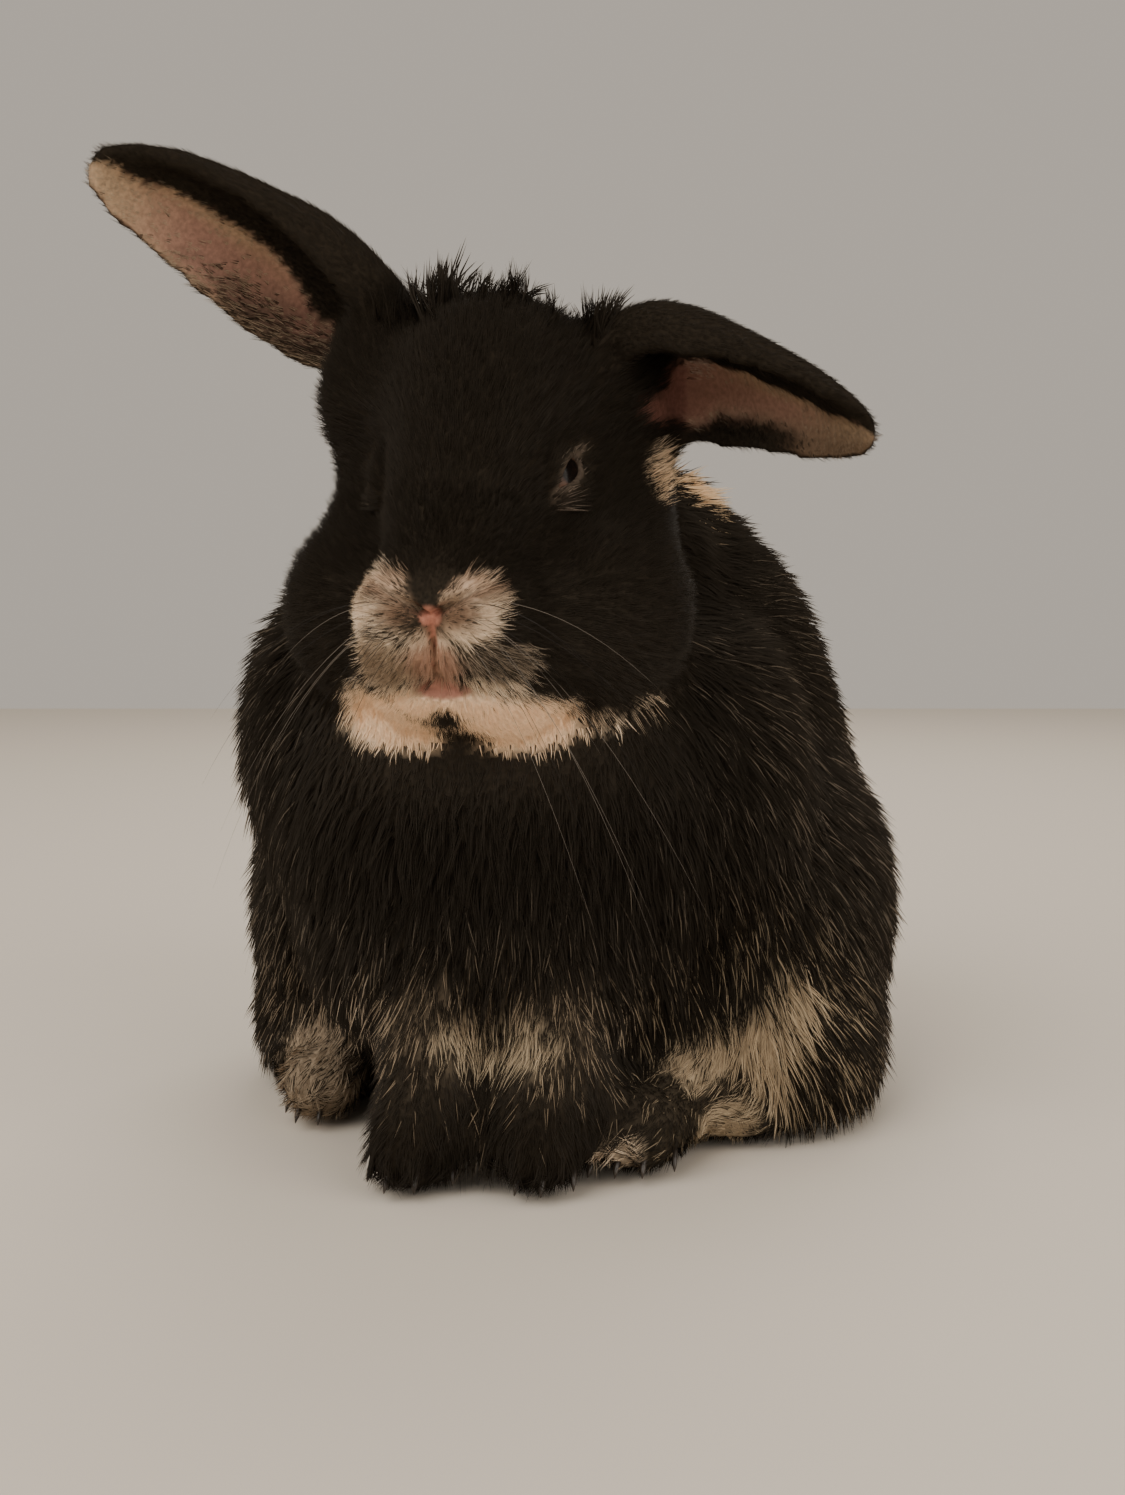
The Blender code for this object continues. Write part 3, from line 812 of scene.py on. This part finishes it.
# A wet eyeball: smooth and dark, with a thin clear film that gives one small soft gleam.
eye_looks = {"Roughness": 0.2, "Specular IOR Level": 0.15, "Coat Weight": 0.06, "Coat Roughness": 0.03}
eye_material = material_of("wet_dark_eye", eye_looks)
for side, sign in SIDES.items():
    shape = bmesh.new()
    bmesh.ops.create_uvsphere(shape, u_segments=48, v_segments=32, radius=EYE_RADIUS - 0.05)
    look = SIGHT[side].copy()
    look.x *= sign
    for vertex in shape.verts:
        angle = math.degrees(vertex.co.angle(Vector((0, 0, 1))))
        vertex.co *= 1 + BULGE * max(0, 1 - (angle / IRIS) ** 2)
    facing = look.to_track_quat("Z", "Y").to_matrix().to_4x4()
    shape.transform(skull @ Matrix.Translation(EYES[side]) @ facing)
    eye_mesh = bpy.data.meshes.new("eye_" + side)
    shape.to_mesh(eye_mesh)
    shape.free()
    eye_mesh.shade_smooth()
    rays = unit(points_of(eye_mesh) - np.array(skull @ EYES[side]))
    ahead = skull_turn @ np.array(look)
    angle = np.degrees(np.arccos(np.clip(rays @ ahead, -1, 1)))
    iris, white = ramp(angle, PUPIL - 2, PUPIL + 2), ramp(angle, IRIS, WHITE_OF_EYE)
    keep(eye_mesh, "tint", opaque(mixed("#0f0b09", ("#4a3122", iris), ("#8a7466", white))))
    eye_mesh.materials.append(eye_material)
    eye = shown("eyeball_" + side, eye_mesh)
    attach(eye, "root")
    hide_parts("eye_" + side)

# ---------------------------------------------------------------- coat
# The coat is soft and dense. It lies along the body in small locks of fine hairs, which are short on the
# face, ears and feet. Single silver hairs are scattered through the black.
LONG_LOCK, SHORT_LOCK = (5, (0, 0.5, 1)), (4, (0, 1))  # hairs in a lock, and the stations along each
LOCK_KINDS = 5
HAIR_HALF = 0.09  # half a hair's thickness, as a share of the lock's width
COAT_MARKS = ("where", "lie", "hair_length", "share", "pale", "dark")
PATCH = 0.003  # the size of the patch of the skin's map that a lock takes its colours from
DENSEST = 4e6  # locks to a square metre, which their spacing thins

# Hair with no wax on it: soft and matt, with only a faint shine along the locks.
hair_material = material_of("rabbit_hair", {"Roughness": 0.6, "Specular IOR Level": 0.05})


def lock_mesh(name, hairs, stations, seed):
    """A lock of closed three-sided hairs. It is one unit long in X, rises one in Z and is one unit wide."""
    dice = np.random.default_rng(seed)
    rings = len(stations) - 1
    corners, faces, die, patch = [], [], [], []
    for hair in range(hairs):
        root_x = dice.uniform(-0.12, 0.12)
        root_y = (hair + 0.5) / hairs - 0.5 + dice.uniform(-0.06, 0.06)
        reach, rise = dice.uniform(0.72, 1.0), dice.uniform(0.7, 1.05)
        sway, thick = dice.uniform(-0.2, 0.2), dice.uniform(0.8, 1.15)
        first = len(corners)
        for station in stations:
            x = root_x + reach * station
            y = root_y * (1 - 0.45 * station) + sway * station**2
            z = rise * station * (1.5 - 0.5 * station) - 0.08
            half = HAIR_HALF * (0.8 * thick * (1 - station) ** 0.6)
            ring = [(x, y - half, z), (x, y + half, z), (x, y, z + half)]
            corners += ring if station < 1 else [(x, y, z)]
        faces.append((first, first + 2, first + 1))
        for ring in range(rings - 1):
            a, b = first + 3 * ring, first + 3 * ring + 3
            faces += [(a + i, a + (i + 1) % 3, b + (i + 1) % 3, b + i) for i in range(3)]
        last, tip = first + 3 * rings - 3, first + 3 * rings
        faces += [(last + i, last + (i + 1) % 3, tip) for i in range(3)]
        die += [dice.uniform()] * (3 * rings + 1)
        spot = dice.uniform(-0.35, 0.35, 2)
        for k in range(3 * rings + 1):
            patch.append((*(spot + 0.1 * np.array((k % 3 - 1, k // 3 / rings - 0.5))), 0))
    mesh = bpy.data.meshes.new(name)
    mesh.from_pydata(corners, [], faces)
    keep(mesh, "hair_die", np.array(die))
    keep(mesh, "patch", np.array(patch))
    return mesh


def lock_set(name, lock, seed):
    """A collection of locks, each a little different."""
    locks = bpy.data.collections.new(name)
    for kind in range(LOCK_KINDS):
        mesh = lock_mesh(f"{name}_{kind}", *lock, seed + kind)
        locks.objects.link(bpy.data.objects.new(mesh.name, mesh))
    return locks


def coat_tree():
    """The node group that grows locks on the skin. Each hair draws its colour from the skin's markings and
    painted light and shade.
    """
    tree = bpy.data.node_groups.new("coat", "GeometryNodeTree")
    add = partial(add_node, tree)
    tree.interface.new_socket("Geometry", in_out="OUTPUT", socket_type="NodeSocketGeometry")
    for kind, names in {
        "Geometry": ("Geometry",),
        "Collection": ("Locks",),
        "Material": ("Hair",),
        "Float": ("Spacing", "Width", "Rise", "Longer", "Disorder"),
        "Int": ("Seed",),
    }.items():
        for name in names:
            tree.interface.new_socket(name, in_out="INPUT", socket_type="NodeSocket" + kind)
    given = tree.nodes.new("NodeGroupInput")
    marks = {
        name: add("GeometryNodeInputNamedAttribute", {"Name": name}, data_type=kind)
        for kind, names in {
            "FLOAT": ("where", "hair_length", "share", "die", "hair_die"),
            "FLOAT_VECTOR": ("lie", "patch", "OFBake"),
            "FLOAT_COLOR": ("dark", "pale"),
        }.items()
        for name in names
    }
    chance = {
        use: add("FunctionNodeRandomValue", {"Min": low, "Max": high, "Seed": seed}, data_type=kind)
        for use, low, high, seed, kind in (
            ("die", 0.0, 1.0, 7, "FLOAT"),
            ("lean", (-0.5, -0.5, -1), (0.5, 0.5, 1), 11, "FLOAT_VECTOR"),
            ("length", 0.75, 1.12, 13, "FLOAT"),
            ("kind", 0, 99, 17, "INT"),
        )
    }
    seeds = {"Distance Min": out(given, "Spacing"), "Density Max": DENSEST, "Density Factor": marks["where"]}
    seeds.update({"Mesh": out(given, "Geometry"), "Seed": out(given, "Seed")})
    sown = add("GeometryNodeDistributePointsOnFaces", seeds, distribute_method="POISSON")
    stored = {"Geometry": sown, "Name": "die", "Value": chance["die"]}
    points = add("GeometryNodeStoreNamedAttribute", stored, data_type="FLOAT", domain="POINT")
    along = {"Primary Axis": out(sown, "Normal"), "Secondary Axis": marks["lie"]}
    laid = add("FunctionNodeAxesToRotation", along, primary_axis="Z", secondary_axis="X")
    lean = {0: chance["lean"], "Scale": out(given, "Disorder")}
    lean = add("ShaderNodeVectorMath", lean, operation="SCALE")
    loose = {"Rotation": laid, "Rotate By": add("FunctionNodeEulerToRotation", {"Euler": lean})}
    loose = add("FunctionNodeRotateRotation", loose, rotation_space="LOCAL")
    full = {0: marks["hair_length"], 1: out(given, "Longer")}
    full = add("ShaderNodeMath", full, operation="MULTIPLY")
    length = add("ShaderNodeMath", {0: full, 1: chance["length"]}, operation="MULTIPLY")
    height = add("ShaderNodeMath", {0: length, 1: out(given, "Rise")}, operation="MULTIPLY")
    size = add("ShaderNodeCombineXYZ", {"X": length, "Y": out(given, "Width"), "Z": height})
    kinds = {"Collection": out(given, "Locks"), "Separate Children": True, "Reset Children": True}
    kinds = add("GeometryNodeCollectionInfo", kinds)
    picked = {"Instance": kinds, "Pick Instance": True, "Instance Index": chance["kind"]}
    grown = {"Points": points, **picked, "Rotation": loose, "Scale": size}
    grown = add("GeometryNodeInstanceOnPoints", grown)
    real = add("GeometryNodeRealizeInstances", {"Geometry": grown})
    dice = add("ShaderNodeMath", {0: marks["die"], 1: marks["hair_die"]}, operation="ADD")
    dice = add("ShaderNodeMath", {0: dice, 1: 1.0}, operation="MODULO")
    is_pale = add("FunctionNodeCompare", {"A": dice, "B": marks["share"]}, operation="LESS_THAN")
    colours = {"Factor": is_pale, "A": marks["dark"], "B": marks["pale"]}
    colour = add("ShaderNodeMix", colours, data_type="RGBA")
    again = add("ShaderNodeMath", {0: dice, 1: 7.31}, operation="MULTIPLY")
    again = add("ShaderNodeMath", {0: again, 1: 1.0}, operation="MODULO")
    light = add("ShaderNodeMapRange", {"Value": again, "To Min": 0.85, "To Max": 1.12})
    varied = add("ShaderNodeVectorMath", {0: colour, "Scale": light}, operation="SCALE")
    stored = {"Geometry": real, "Name": "tint", "Value": varied}
    tinted = add("GeometryNodeStoreNamedAttribute", stored, data_type="FLOAT_COLOR", domain="POINT")
    spot = add("ShaderNodeVectorMath", {0: marks["patch"], "Scale": PATCH}, operation="SCALE")
    baked = add("ShaderNodeVectorMath", {0: marks["OFBake"], 1: spot}, operation="ADD")
    stored = {"Geometry": tinted, "Name": "OFBake", "Value": baked}
    mapped = add("GeometryNodeStoreNamedAttribute", stored, data_type="FLOAT2", domain="CORNER")
    made = add("GeometryNodeSetMaterial", {"Geometry": mapped, "Material": out(given, "Hair")})
    add("NodeGroupOutput", {"Geometry": made})
    return tree


def forget(mesh, names):
    """Takes the attributes with those names off the mesh."""
    for name in names:
        if name in mesh.attributes:
            mesh.attributes.remove(mesh.attributes[name])


def sizes(spacing, width, rise, disorder, longer=1.0):
    """What a coat's node group is given: the locks' spacing and width in millimetres, and how they stand."""
    stand = {"Rise": rise, "Longer": longer, "Disorder": disorder}
    return {"Spacing": spacing * MM, "Width": width * MM, **stand}


def coat(name, where, locks, seed, looks):
    """A piece of the coat, grown where the mask is above zero. It rides on the body as one plain mesh."""
    keep(skin_mesh, "where", where)
    grower = shown(name, skin_mesh)
    growth = grower.modifiers.new("coat", "NODES")
    growth.node_group = coat_nodes
    given = {"Locks": locks, "Hair": hair_material, "Seed": seed, **looks}
    for socket in coat_nodes.interface.items_tree:
        if socket.in_out == "INPUT" and socket.name in given:
            growth[socket.identifier] = given[socket.name]
    piece = shown(name, settled(grower))
    piece.data.name = name
    forget(piece.data, (*COAT_MARKS, "die", "hair_die", "patch"))
    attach(piece, "root")


coat_nodes = coat_tree()
long_locks = lock_set("long_lock", LONG_LOCK, 20)
short_locks = lock_set("short_lock", SHORT_LOCK, 40)
kept = 1 - bald
is_body = np.isin(part_at, ["trunk", "neck"])
front = is_body & (on_trunk[:, 1] < -22)
middle = is_body & ~front & (on_trunk[:, 1] < 36)
rear = is_body & ~front & ~middle
body_looks = sizes(1.85, 2.1, 0.4, 0.26)
coat("coat_chest", front * kept, long_locks, 1, body_looks)
for number, (side, sign) in enumerate(SIDES.items()):
    on_side = on_trunk[:, 0] * sign >= 0
    on_thigh = node_at == FLESH.index("thigh_" + side)
    coat(f"coat_shoulder_{side}", (middle & on_side) * kept, long_locks, 2 + number, body_looks)
    coat(f"coat_rump_{side}", (rear & on_side) * kept, long_locks, 12 + number, body_looks)
    coat(f"coat_thigh_{side}", on_thigh * kept, long_locks, 4 + number, body_looks)
coat("coat_tail", (part_at == "tail") * kept, long_locks, 6, body_looks)
coat("coat_head", (part_at == "head") * kept * (1 - in_root), short_locks, 27, sizes(0.98, 1.3, 0.32, 0.2))
CROWN_TUFTS = (-12, 6, 25)  # across the top of the head. A low fringe joins them
tufts = sum(blob(on_skull, (x, -4, 28), (3.6, 9, 9)) for x in CROWN_TUFTS)
crown = np.maximum(tufts, 0.3 * blob(on_skull, (3, -6, 28), (25, 7, 9))) * (part_at == "head")
crown_length = 5.5 + 4.5 * ramp(-on_skull[:, 0], -2, 12) + 2.5 * tufts  # longest near the raised ear
keep(skin_mesh, "hair_length", crown_length * MM)
coat("coat_crown", crown, long_locks, 11, sizes(1.2, 1.3, 0.95, 0.7, 1.05))
keep(skin_mesh, "hair_length", hair_length * MM)
nape = blob(on_trunk, (31, -3, 160), (8, 14, 8)) * is_body  # stands up behind the left ear
coat("coat_nape", nape, long_locks, 14, sizes(1.2, 1.3, 0.65, 0.35, 1.05))
on_muzzle = np.isin(part_at, ["muzzle", "lower", "nose"])
coat("coat_face", on_muzzle * kept, short_locks, 8, sizes(0.53, 0.76, 0.34, 0.3))
haired = 1 - hollow * (1 - np.clip(margin + 1.2 * wisps + tuft, 0, 1))
coat("coat_ears", (part_at == "ear") * kept * haired, short_locks, 9, sizes(0.95, 1.1, 0.26, 0.25))
on_foot = np.isin(part_at, ["foreleg", "hindfoot"])
coat("coat_feet", on_foot * kept, short_locks, 10, sizes(1.4, 1.8, 0.4, 0.3))
forget(skin_mesh, COAT_MARKS)
for locks in (long_locks, short_locks):
    for lock in list(locks.objects):
        bpy.data.objects.remove(lock)
    bpy.data.collections.remove(locks)

# ---------------------------------------------------------------- whiskers
# The whiskers are stiff, tapered and slightly bowed. They grow in four rows from each pad beside the nose,
# and sweep aside, back and down. About a third are pale and the others black.
WHISKER_RIBS, WHISKER_SIDES = 14, 6
WHISKER_HALF = 0.05
ROWS_OF_PAD, IN_ROW = 4, 3

# A whisker is thick, smooth hair. It shines a little more than the coat, so the pale ones show on the black.
whisker_material = material_of("whisker", {"Roughness": 0.5, "Specular IOR Level": 0.2})


def add_taper(corners, faces, body, sides, course):
    """Adds a closed tube to a mesh's lists. Each rib of its course has a place, direction, side and half."""
    for place, ahead, across, half in course:
        for step in range(sides):
            turn = Matrix.Rotation(math.tau * step / sides, 3, ahead)
            corners.append(body @ (place + turn @ across * half))
    last = len(corners) - sides
    first = last - sides * (len(course) - 1)
    for rib in range(first, last, sides):
        for step in range(sides):
            b, c = rib + step, rib + (step + 1) % sides
            faces.append((b, c, c + sides, b + sides))
    faces.append([first + step for step in reversed(range(sides))])
    faces.append([last + step for step in range(sides)])


def made_of(material, name, corners, faces):
    """An object with that mesh and material, shaded smooth."""
    mesh = bpy.data.meshes.new(name)
    mesh.from_pydata(corners, [], faces)
    mesh.shade_smooth()
    mesh.materials.append(material)
    return shown(name, mesh)


def whisker_course(root, aim, droop, length):
    """The course of a hair that leaves the skin at the root towards the aim, and bends by the droop."""
    course = []
    for rib in range(WHISKER_RIBS):
        t = rib / (WHISKER_RIBS - 1)
        place = root + aim * length * (t - 0.12 * t**2) + droop * length * t**2
        ahead = (aim * (1 - 0.24 * t) + droop * 2 * t).normalized()
        course.append((place, ahead, ahead.orthogonal().normalized(), WHISKER_HALF * (1 - t) ** 0.7 + 0.01))
    return course


dice = np.random.default_rng(5)
corners, faces, tints = [], [], []
for side in SIDES.values():
    for row in range(ROWS_OF_PAD):
        for number in range(IN_ROW):
            x = (7.5 + 2.6 * number) * side + NOSE_MIDDLE
            z = -37 - 2.6 * row + 0.3 * number
            root = Vector(on_face(tree, [(x, z)])[0]) + Vector((0, 1.0, 0))
            downwards = -0.05 - 0.32 * row + dice.uniform(-0.15, 0.15)
            aim = Vector((side * (0.8 + 0.1 * number), -0.35 + 0.2 * number, downwards)).normalized()
            droop = Vector((0.08 * side, 0.2, -0.5 - 0.1 * row))
            length = 28 + 8 * number + 3 * row + dice.uniform(-5, 8)
            colour = linear("#6a6259") if dice.uniform() < 0.35 else linear("#1d1916")
            add_taper(corners, faces, skull, WHISKER_SIDES, whisker_course(root, aim, droop, length))
            tints += [colour] * (WHISKER_RIBS * WHISKER_SIDES)
whiskers = made_of(whisker_material, "whiskers", corners, faces)
keep(whiskers.data, "tint", opaque(np.array(tints)))
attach(whiskers, "root")

# ---------------------------------------------------------------- claws
# The claws are dark horn, curved and blunt. Each grows from the end of a toe, four to a foot, and the hair
# of the toes almost hides them.
CLAW_LENGTH, CLAW_HALF, CLAW_DROP = 4.6, 0.9, 5.0
CLAW_RIBS, CLAW_SIDES = 7, 10
CLAW_HEIGHT, CLAW_DEPTH = 6.5, 3.4  # of the root: above the floor, and inside the skin

# Claw horn: brown-black keratin, worn smooth, with a dull gleam along its back.
claw_looks = {"Base Color": (*linear("#2b231c"), 1), "Roughness": 0.35}
claw_material = material_of("dark_claw", claw_looks, tinted=False)
tree = skin_tree(trunk)
corners, faces = [], []
for x, _, apart in TOES.values():
    for number in (-1.5, -0.5, 0.5, 1.5):
        toe = tree.ray_cast(Vector((x + number * apart, -200, CLAW_HEIGHT)), Vector((0, 1, 0)))[0]
        root = toe + Vector((0, CLAW_DEPTH, 0))
        course = []
        for rib in range(CLAW_RIBS):
            t = rib / (CLAW_RIBS - 1)
            place = root + Vector((0.8 * number * t, -CLAW_LENGTH * t, 0.8 * t - CLAW_DROP * t**2))
            ahead = Vector((0.8 * number, -CLAW_LENGTH, 0.8 - 2 * CLAW_DROP * t)).normalized()
            across = ahead.cross(Vector((0, 0, 1))).normalized()
            course.append((place, ahead, across, CLAW_HALF * (1 - t**2) ** 0.5 + 0.08))
        add_taper(corners, faces, trunk, CLAW_SIDES, course)
claws = made_of(claw_material, "claws", corners, faces)
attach(claws, "root")

# ---------------------------------------------------------------- floor and light
# A plain pale floor, a big soft light from the front and left as the camera sees it, a weaker one from the
# right, and one from above and behind that edges the dark coat.
FLOOR_HALF, FLOOR_LEVEL = 1.5, -0.2 * MM

# Warm pale paint without a shine, so that the dark coat stands clear of it.
floor_looks = {"Base Color": (*linear("#cfc6ba"), 1), "Roughness": 0.8}
floor_material = material_of("pale_floor", floor_looks, tinted=False)
around = [(x * FLOOR_HALF, y * FLOOR_HALF, FLOOR_LEVEL) for x, y in ((-1, -1), (1, -1), (1, 1), (-1, 1))]
floor = made_of(floor_material, "floor", around, [(0, 1, 2, 3)])
LIGHTS = (  # name, place, size in metres, watts
    ("key", (-0.8, -1.1, 1.2), 1.4, 27),
    ("fill", (1.0, -1.0, 0.6), 1.4, 14),
    ("edge", (0.2, 0.9, 1.1), 0.9, 7),
)
LAMP_COLOUR = (1.0, 0.95, 0.88)
MIDDLE = Vector((0, 0, 0.12))  # what the lights are turned to
for name, place, size, power in LIGHTS:
    lamp = bpy.data.lights.new(name, "AREA")
    lamp.size, lamp.energy, lamp.color = size, power, LAMP_COLOUR
    light = shown(name, lamp)
    light.location = place
    light.rotation_euler = (MIDDLE - Vector(place)).to_track_quat("-Z", "Y").to_euler()
world = bpy.data.worlds.new("room")
bpy.context.scene.world = world
world.use_nodes = True
room_light = world.node_tree.nodes["Background"].inputs
room_light["Color"].default_value = (*linear("#d9cfc2"), 1)
room_light["Strength"].default_value = 0.72
